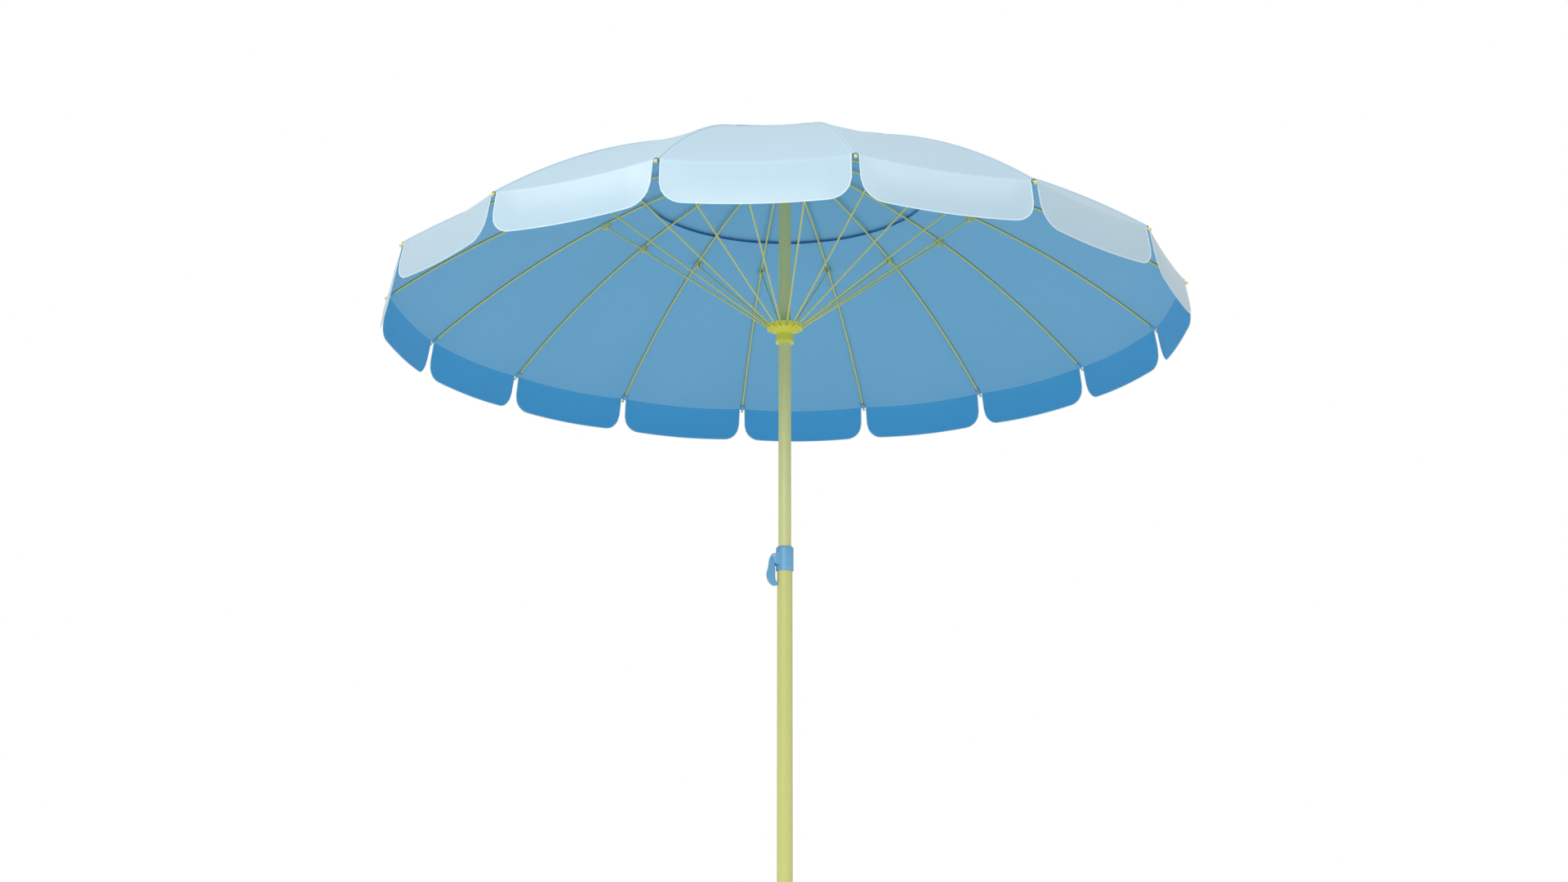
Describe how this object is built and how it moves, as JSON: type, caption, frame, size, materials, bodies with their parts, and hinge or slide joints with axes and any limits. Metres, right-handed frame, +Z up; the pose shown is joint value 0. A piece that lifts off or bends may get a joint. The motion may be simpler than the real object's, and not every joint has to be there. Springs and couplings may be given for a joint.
{
  "type": "beach umbrella",
  "caption": "Round beach umbrella with a folding rib frame, valance flaps, vented top and a telescopic pole with a cam clamp.",
  "frame": {"origin": "on the pole axis at the tip of the ground spike", "axes": "+Z up along the pole, +X along the first rib; the clamp lever is on the -X side"},
  "size_m": [2.008, 2.008, 2.246],
  "materials": {
    "canopy_cloth": "woven polyester, light blue",
    "rib_wire": "pale yellow powder-coated spring-steel wire with a moulded clip and tip",
    "stretcher_wire": "pale yellow powder-coated steel wire",
    "pole_paint": "powder-coated pale yellow steel tube, satin",
    "clamp_plastic": "moulded blue nylon, satin",
    "runner_plastic": "moulded yellow nylon, satin",
    "spike_plastic": "moulded pale yellow plastic",
    "pin_steel": "zinc-plated",
    "spring_steel": "bright spring steel"
  },
  "bodies": {
    "lower_pole": {"ground_spike": "spike_plastic", "lower_tube": "pole_paint", "clamp_collar": "clamp_plastic", "lever_pin": "pin_steel"},
    "clamp_lever": {"clamp_lever": "clamp_plastic"},
    "guide": {"guide_bush": "runner_plastic"},
    "upper_pole": {"upper_tube": "pole_paint", "crown_hub": "runner_plastic", "finial": "runner_plastic", "vent_cap": "canopy_cloth"},
    "runner": {"runner": "runner_plastic"},
    "catch": {"runner_catch": "spring_steel"},
    "rib_01": {"rib_01": "rib_wire", "canopy_gore_01": "canopy_cloth"},
    "stretcher_01": {"stretcher_01": "stretcher_wire"},
    "rib_02": {"rib_02": "rib_wire", "canopy_gore_02": "canopy_cloth"},
    "stretcher_02": {"stretcher_02": "stretcher_wire"},
    "rib_03": {"rib_03": "rib_wire", "canopy_gore_03": "canopy_cloth"},
    "stretcher_03": {"stretcher_03": "stretcher_wire"},
    "rib_04": {"rib_04": "rib_wire", "canopy_gore_04": "canopy_cloth"},
    "stretcher_04": {"stretcher_04": "stretcher_wire"},
    "rib_05": {"rib_05": "rib_wire", "canopy_gore_05": "canopy_cloth"},
    "stretcher_05": {"stretcher_05": "stretcher_wire"},
    "rib_06": {"rib_06": "rib_wire", "canopy_gore_06": "canopy_cloth"},
    "stretcher_06": {"stretcher_06": "stretcher_wire"},
    "rib_07": {"rib_07": "rib_wire", "canopy_gore_07": "canopy_cloth"},
    "stretcher_07": {"stretcher_07": "stretcher_wire"},
    "rib_08": {"rib_08": "rib_wire", "canopy_gore_08": "canopy_cloth"},
    "stretcher_08": {"stretcher_08": "stretcher_wire"},
    "rib_09": {"rib_09": "rib_wire", "canopy_gore_09": "canopy_cloth"},
    "stretcher_09": {"stretcher_09": "stretcher_wire"},
    "rib_10": {"rib_10": "rib_wire", "canopy_gore_10": "canopy_cloth"},
    "stretcher_10": {"stretcher_10": "stretcher_wire"},
    "rib_11": {"rib_11": "rib_wire", "canopy_gore_11": "canopy_cloth"},
    "stretcher_11": {"stretcher_11": "stretcher_wire"},
    "rib_12": {"rib_12": "rib_wire", "canopy_gore_12": "canopy_cloth"},
    "stretcher_12": {"stretcher_12": "stretcher_wire"},
    "rib_13": {"rib_13": "rib_wire", "canopy_gore_13": "canopy_cloth"},
    "stretcher_13": {"stretcher_13": "stretcher_wire"},
    "rib_14": {"rib_14": "rib_wire", "canopy_gore_14": "canopy_cloth"},
    "stretcher_14": {"stretcher_14": "stretcher_wire"},
    "rib_15": {"rib_15": "rib_wire", "canopy_gore_15": "canopy_cloth"},
    "stretcher_15": {"stretcher_15": "stretcher_wire"},
    "rib_16": {"rib_16": "rib_wire", "canopy_gore_16": "canopy_cloth"},
    "stretcher_16": {"stretcher_16": "stretcher_wire"}
  },
  "joints": [
    {"name": "telescope", "type": "slide", "parent": "lower_pole", "child": "guide", "axis": [0, 0, 1], "range_m": [0, 0.3]},
    {"name": "pole_swivel", "type": "hinge", "parent": "guide", "child": "upper_pole", "pos_m": [0, 0, 0.766], "axis": [0, 0, 1], "continuous": true},
    {"name": "clamp_lever_hinge", "type": "hinge", "parent": "lower_pole", "child": "clamp_lever", "pos_m": [-0.02855, 0, 1.124], "axis": [0, 1, 0], "range_deg": [0, 105]},
    {"name": "catch_press", "type": "slide", "parent": "upper_pole", "child": "catch", "axis": [0, -1, 0], "range_m": [0, 0.005], "stiffness_N_per_m": 600, "springref_m": -0.002},
    {"name": "runner_slide", "type": "slide", "parent": "upper_pole", "child": "runner", "axis": [0, 0, -1], "range_m": [0, 0.524], "deforming": ["runner_catch", "vent_cap"]},
    {"name": "rib_01_hinge", "type": "hinge", "parent": "upper_pole", "child": "rib_01", "pos_m": [0.042, 0, 2.19], "axis": [0, 1, 0], "range_deg": [0, 54.43], "deforming": ["canopy_gore_01"]},
    {"name": "stretcher_01_hinge", "type": "hinge", "parent": "rib_01", "child": "stretcher_01", "pos_m": [0.49659, 0, 2.0406], "axis": [0, 1, 0], "range_deg": [-94.06, 0]},
    {"name": "rib_02_hinge", "type": "hinge", "parent": "upper_pole", "child": "rib_02", "pos_m": [0.0388, 0.01607, 2.19], "axis": [-0.3827, 0.9239, 0], "range_deg": [0, 54.43], "deforming": ["canopy_gore_02"]},
    {"name": "stretcher_02_hinge", "type": "hinge", "parent": "rib_02", "child": "stretcher_02", "pos_m": [0.45879, 0.19004, 2.0406], "axis": [-0.3827, 0.9239, 0], "range_deg": [-94.06, 0]},
    {"name": "rib_03_hinge", "type": "hinge", "parent": "upper_pole", "child": "rib_03", "pos_m": [0.0297, 0.0297, 2.19], "axis": [-0.7071, 0.7071, 0], "range_deg": [0, 54.43], "deforming": ["canopy_gore_03"]},
    {"name": "stretcher_03_hinge", "type": "hinge", "parent": "rib_03", "child": "stretcher_03", "pos_m": [0.35114, 0.35114, 2.0406], "axis": [-0.7071, 0.7071, 0], "range_deg": [-94.06, 0]},
    {"name": "rib_04_hinge", "type": "hinge", "parent": "upper_pole", "child": "rib_04", "pos_m": [0.01607, 0.0388, 2.19], "axis": [-0.9239, 0.3827, 0], "range_deg": [0, 54.43], "deforming": ["canopy_gore_04"]},
    {"name": "stretcher_04_hinge", "type": "hinge", "parent": "rib_04", "child": "stretcher_04", "pos_m": [0.19004, 0.45879, 2.0406], "axis": [-0.9239, 0.3827, 0], "range_deg": [-94.06, 0]},
    {"name": "rib_05_hinge", "type": "hinge", "parent": "upper_pole", "child": "rib_05", "pos_m": [0, 0.042, 2.19], "axis": [-1, 0, 0], "range_deg": [0, 54.43], "deforming": ["canopy_gore_05"]},
    {"name": "stretcher_05_hinge", "type": "hinge", "parent": "rib_05", "child": "stretcher_05", "pos_m": [0, 0.49659, 2.0406], "axis": [-1, 0, 0], "range_deg": [-94.06, 0]},
    {"name": "rib_06_hinge", "type": "hinge", "parent": "upper_pole", "child": "rib_06", "pos_m": [-0.01607, 0.0388, 2.19], "axis": [-0.9239, -0.3827, 0], "range_deg": [0, 54.43], "deforming": ["canopy_gore_06"]},
    {"name": "stretcher_06_hinge", "type": "hinge", "parent": "rib_06", "child": "stretcher_06", "pos_m": [-0.19004, 0.45879, 2.0406], "axis": [-0.9239, -0.3827, 0], "range_deg": [-94.06, 0]},
    {"name": "rib_07_hinge", "type": "hinge", "parent": "upper_pole", "child": "rib_07", "pos_m": [-0.0297, 0.0297, 2.19], "axis": [-0.7071, -0.7071, 0], "range_deg": [0, 54.43], "deforming": ["canopy_gore_07"]},
    {"name": "stretcher_07_hinge", "type": "hinge", "parent": "rib_07", "child": "stretcher_07", "pos_m": [-0.35114, 0.35114, 2.0406], "axis": [-0.7071, -0.7071, 0], "range_deg": [-94.06, 0]},
    {"name": "rib_08_hinge", "type": "hinge", "parent": "upper_pole", "child": "rib_08", "pos_m": [-0.0388, 0.01607, 2.19], "axis": [-0.3827, -0.9239, 0], "range_deg": [0, 54.43], "deforming": ["canopy_gore_08"]},
    {"name": "stretcher_08_hinge", "type": "hinge", "parent": "rib_08", "child": "stretcher_08", "pos_m": [-0.45879, 0.19004, 2.0406], "axis": [-0.3827, -0.9239, 0], "range_deg": [-94.06, 0]},
    {"name": "rib_09_hinge", "type": "hinge", "parent": "upper_pole", "child": "rib_09", "pos_m": [-0.042, 0, 2.19], "axis": [0, -1, 0], "range_deg": [0, 54.43], "deforming": ["canopy_gore_09"]},
    {"name": "stretcher_09_hinge", "type": "hinge", "parent": "rib_09", "child": "stretcher_09", "pos_m": [-0.49659, 0, 2.0406], "axis": [0, -1, 0], "range_deg": [-94.06, 0]},
    {"name": "rib_10_hinge", "type": "hinge", "parent": "upper_pole", "child": "rib_10", "pos_m": [-0.0388, -0.01607, 2.19], "axis": [0.3827, -0.9239, 0], "range_deg": [0, 54.43], "deforming": ["canopy_gore_10"]},
    {"name": "stretcher_10_hinge", "type": "hinge", "parent": "rib_10", "child": "stretcher_10", "pos_m": [-0.45879, -0.19004, 2.0406], "axis": [0.3827, -0.9239, 0], "range_deg": [-94.06, 0]},
    {"name": "rib_11_hinge", "type": "hinge", "parent": "upper_pole", "child": "rib_11", "pos_m": [-0.0297, -0.0297, 2.19], "axis": [0.7071, -0.7071, 0], "range_deg": [0, 54.43], "deforming": ["canopy_gore_11"]},
    {"name": "stretcher_11_hinge", "type": "hinge", "parent": "rib_11", "child": "stretcher_11", "pos_m": [-0.35114, -0.35114, 2.0406], "axis": [0.7071, -0.7071, 0], "range_deg": [-94.06, 0]},
    {"name": "rib_12_hinge", "type": "hinge", "parent": "upper_pole", "child": "rib_12", "pos_m": [-0.01607, -0.0388, 2.19], "axis": [0.9239, -0.3827, 0], "range_deg": [0, 54.43], "deforming": ["canopy_gore_12"]},
    {"name": "stretcher_12_hinge", "type": "hinge", "parent": "rib_12", "child": "stretcher_12", "pos_m": [-0.19004, -0.45879, 2.0406], "axis": [0.9239, -0.3827, 0], "range_deg": [-94.06, 0]},
    {"name": "rib_13_hinge", "type": "hinge", "parent": "upper_pole", "child": "rib_13", "pos_m": [0, -0.042, 2.19], "axis": [1, 0, 0], "range_deg": [0, 54.43], "deforming": ["canopy_gore_13"]},
    {"name": "stretcher_13_hinge", "type": "hinge", "parent": "rib_13", "child": "stretcher_13", "pos_m": [0, -0.49659, 2.0406], "axis": [1, 0, 0], "range_deg": [-94.06, 0]},
    {"name": "rib_14_hinge", "type": "hinge", "parent": "upper_pole", "child": "rib_14", "pos_m": [0.01607, -0.0388, 2.19], "axis": [0.9239, 0.3827, 0], "range_deg": [0, 54.43], "deforming": ["canopy_gore_14"]},
    {"name": "stretcher_14_hinge", "type": "hinge", "parent": "rib_14", "child": "stretcher_14", "pos_m": [0.19004, -0.45879, 2.0406], "axis": [0.9239, 0.3827, 0], "range_deg": [-94.06, 0]},
    {"name": "rib_15_hinge", "type": "hinge", "parent": "upper_pole", "child": "rib_15", "pos_m": [0.0297, -0.0297, 2.19], "axis": [0.7071, 0.7071, 0], "range_deg": [0, 54.43], "deforming": ["canopy_gore_15"]},
    {"name": "stretcher_15_hinge", "type": "hinge", "parent": "rib_15", "child": "stretcher_15", "pos_m": [0.35114, -0.35114, 2.0406], "axis": [0.7071, 0.7071, 0], "range_deg": [-94.06, 0]},
    {"name": "rib_16_hinge", "type": "hinge", "parent": "upper_pole", "child": "rib_16", "pos_m": [0.0388, -0.01607, 2.19], "axis": [0.3827, 0.9239, 0], "range_deg": [0, 54.43], "deforming": ["canopy_gore_16"]},
    {"name": "stretcher_16_hinge", "type": "hinge", "parent": "rib_16", "child": "stretcher_16", "pos_m": [0.45879, -0.19004, 2.0406], "axis": [0.3827, 0.9239, 0], "range_deg": [-94.06, 0]}
  ],
  "couplings": [
    {"joint": "rib_01_hinge", "follows": "runner_slide", "rad_per_m": 1.8113},
    {"joint": "stretcher_01_hinge", "follows": "runner_slide", "rad_per_m": -3.1312},
    {"joint": "rib_02_hinge", "follows": "runner_slide", "rad_per_m": 1.8113},
    {"joint": "stretcher_02_hinge", "follows": "runner_slide", "rad_per_m": -3.1312},
    {"joint": "rib_03_hinge", "follows": "runner_slide", "rad_per_m": 1.8113},
    {"joint": "stretcher_03_hinge", "follows": "runner_slide", "rad_per_m": -3.1312},
    {"joint": "rib_04_hinge", "follows": "runner_slide", "rad_per_m": 1.8113},
    {"joint": "stretcher_04_hinge", "follows": "runner_slide", "rad_per_m": -3.1312},
    {"joint": "rib_05_hinge", "follows": "runner_slide", "rad_per_m": 1.8113},
    {"joint": "stretcher_05_hinge", "follows": "runner_slide", "rad_per_m": -3.1312},
    {"joint": "rib_06_hinge", "follows": "runner_slide", "rad_per_m": 1.8113},
    {"joint": "stretcher_06_hinge", "follows": "runner_slide", "rad_per_m": -3.1312},
    {"joint": "rib_07_hinge", "follows": "runner_slide", "rad_per_m": 1.8113},
    {"joint": "stretcher_07_hinge", "follows": "runner_slide", "rad_per_m": -3.1312},
    {"joint": "rib_08_hinge", "follows": "runner_slide", "rad_per_m": 1.8113},
    {"joint": "stretcher_08_hinge", "follows": "runner_slide", "rad_per_m": -3.1312},
    {"joint": "rib_09_hinge", "follows": "runner_slide", "rad_per_m": 1.8113},
    {"joint": "stretcher_09_hinge", "follows": "runner_slide", "rad_per_m": -3.1312},
    {"joint": "rib_10_hinge", "follows": "runner_slide", "rad_per_m": 1.8113},
    {"joint": "stretcher_10_hinge", "follows": "runner_slide", "rad_per_m": -3.1312},
    {"joint": "rib_11_hinge", "follows": "runner_slide", "rad_per_m": 1.8113},
    {"joint": "stretcher_11_hinge", "follows": "runner_slide", "rad_per_m": -3.1312},
    {"joint": "rib_12_hinge", "follows": "runner_slide", "rad_per_m": 1.8113},
    {"joint": "stretcher_12_hinge", "follows": "runner_slide", "rad_per_m": -3.1312},
    {"joint": "rib_13_hinge", "follows": "runner_slide", "rad_per_m": 1.8113},
    {"joint": "stretcher_13_hinge", "follows": "runner_slide", "rad_per_m": -3.1312},
    {"joint": "rib_14_hinge", "follows": "runner_slide", "rad_per_m": 1.8113},
    {"joint": "stretcher_14_hinge", "follows": "runner_slide", "rad_per_m": -3.1312},
    {"joint": "rib_15_hinge", "follows": "runner_slide", "rad_per_m": 1.8113},
    {"joint": "stretcher_15_hinge", "follows": "runner_slide", "rad_per_m": -3.1312},
    {"joint": "rib_16_hinge", "follows": "runner_slide", "rad_per_m": 1.8113},
    {"joint": "stretcher_16_hinge", "follows": "runner_slide", "rad_per_m": -3.1312}
  ]
}
